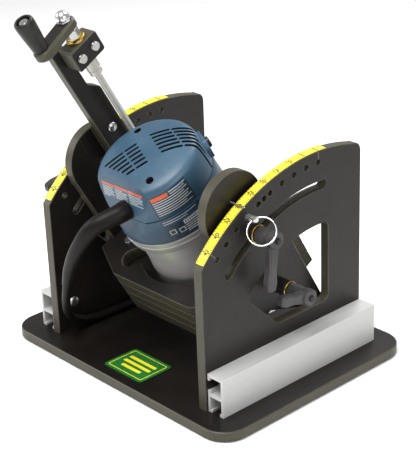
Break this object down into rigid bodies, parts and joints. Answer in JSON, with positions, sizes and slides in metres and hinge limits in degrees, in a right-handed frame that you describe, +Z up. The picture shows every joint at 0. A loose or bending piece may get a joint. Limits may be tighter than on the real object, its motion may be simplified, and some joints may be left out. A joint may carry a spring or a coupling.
{
  "type": "router table",
  "caption": "Tilting router lift on a black insert plate: quadrant side plates, angle scales, crank-driven carriage and a router motor.",
  "frame": {"origin": "centre of the insert plate's bottom face", "axes": "+Z up from the insert plate, +X normal to the side plates towards the side with the pull pin, -Y towards the side the cradle tilts to"},
  "size_m": [0.4154, 0.2834, 0.3347],
  "materials": {
    "phenolic": "black paper-phenolic laminate, satin faces, olive-grey machined edges",
    "aluminium_extrusion": "satin anodised extrusion",
    "machined_aluminium": "turned and cast aluminium, satin",
    "scale_tape": "yellow printed tape with black degree marks",
    "badge": "green sticker with a plain yellow device, no lettering",
    "motor_shell": "moulded blue-grey nylon, fine texture",
    "black_plastic": "moulded black plastic",
    "cord_rubber": "black rubber cord",
    "lever_plastic": "dark grey glass-filled nylon",
    "zinc_steel": "zinc plated steel",
    "chrome": "bright plated steel",
    "brass": "yellow-zinc plated or brass washer",
    "copper": "lacquered copper winding on a laminated core"
  },
  "bodies": {
    "base": {"base_plate": "phenolic", "side_plate_right": "phenolic", "side_plate_left": "phenolic", "angle_scale_right": "scale_tape", "angle_scale_left": "scale_tape", "rail_right": "aluminium_extrusion", "rail_left": "aluminium_extrusion", "plate_screw_right_front": "zinc_steel", "plate_screw_right_rear": "zinc_steel", "plate_screw_left_front": "zinc_steel", "plate_screw_left_rear": "zinc_steel", "badge": "badge", "power_cord": "cord_rubber", "cord_coil": "cord_rubber", "cord_tail": "cord_rubber", "plug": "cord_rubber", "cord_tie": "black_plastic"},
    "cradle": {"cradle_plate_right": "phenolic", "cradle_plate_left": "phenolic", "lift_post": "phenolic", "cradle_bar": "phenolic", "post_screw": "zinc_steel", "lift_block": "phenolic", "block_screw_inner": "zinc_steel", "block_screw_outer": "zinc_steel", "scale_pointer": "zinc_steel", "tilt_washer_right": "brass", "tilt_washer_left": "brass"},
    "carriage": {"carriage_layer_1": "phenolic", "carriage_layer_2": "phenolic", "carriage_layer_3": "phenolic", "carriage_layer_4": "phenolic", "lift_nut": "brass", "clamp_boss": "zinc_steel", "lock_spacer": "black_plastic", "lock_washer": "brass", "router_base": "machined_aluminium", "motor_can": "machined_aluminium", "motor_housing": "motor_shell", "motor_cap": "motor_shell", "brush_cap": "black_plastic", "motor_field": "copper", "cord_boot": "cord_rubber"},
    "rotor": {"spindle": "zinc_steel", "collet_nut": "zinc_steel"},
    "crank": {"lift_screw": "zinc_steel", "crank_washer": "brass", "crank_nut": "zinc_steel", "crank_arm": "phenolic", "acorn_nut": "chrome", "grip_bolt": "zinc_steel"},
    "grip": {"crank_grip": "black_plastic"},
    "tilt_lever_right": {"tilt_lever_right": "lever_plastic", "tilt_lever_right_screw": "zinc_steel"},
    "tilt_lever_left": {"tilt_lever_left": "lever_plastic", "tilt_lever_left_screw": "zinc_steel"},
    "lock_lever": {"lock_lever": "lever_plastic", "lock_lever_screw": "zinc_steel"},
    "index_pin": {"index_pin": "chrome"},
    "pull_ring": {"pin_ring": "chrome"}
  },
  "joints": [
    {"name": "cradle_tilt", "type": "hinge", "parent": "base", "child": "cradle", "pos_m": [0, 0.04226, 0.02492], "axis": [1, 0, 0], "range_deg": [-30, 15], "deforming": ["power_cord"]},
    {"name": "router_lift", "type": "slide", "parent": "cradle", "child": "carriage", "axis": [0, -0.5, 0.866], "range_m": [-0.02, 0.012]},
    {"name": "crank_turn", "type": "hinge", "parent": "cradle", "child": "crank", "pos_m": [-0.066, -0.07786, 0.30198], "axis": [0, -0.5, 0.866], "range_deg": [-5668, 3401]},
    {"name": "grip_spin", "type": "hinge", "parent": "crank", "child": "grip", "pos_m": [-0.061, -0.12567, 0.31479], "axis": [0, -0.5, 0.866], "continuous": true},
    {"name": "spindle_turn", "type": "hinge", "parent": "carriage", "child": "rotor", "pos_m": [0, -0.00774, 0.11152], "axis": [0, -0.5, 0.866], "continuous": true},
    {"name": "tilt_clamp_right", "type": "hinge", "parent": "cradle", "child": "tilt_lever_right", "pos_m": [0.12, -0.03324, 0.15569], "axis": [1, 0, 0], "range_deg": [-15, 60]},
    {"name": "tilt_clamp_left", "type": "hinge", "parent": "cradle", "child": "tilt_lever_left", "pos_m": [-0.12, -0.03324, 0.15569], "axis": [1, 0, 0], "range_deg": [-20, 60]},
    {"name": "height_clamp", "type": "hinge", "parent": "carriage", "child": "lock_lever", "pos_m": [0.12, 0.00526, 0.08901], "axis": [1, 0, 0], "range_deg": [-25, 75]},
    {"name": "index_pull", "type": "slide", "parent": "base", "child": "index_pin", "axis": [1, 0, 0], "range_m": [-0.0045, 0.03]},
    {"name": "ring_swing", "type": "hinge", "parent": "index_pin", "child": "pull_ring", "pos_m": [0.1152, -0.04403, 0.17437], "axis": [0.4496, 0.7814, 0.4327], "range_deg": [-60, 0]}
  ],
  "couplings": [
    {"joint": "router_lift", "follows": "crank_turn", "m_per_rad": 0.00020213}
  ]
}
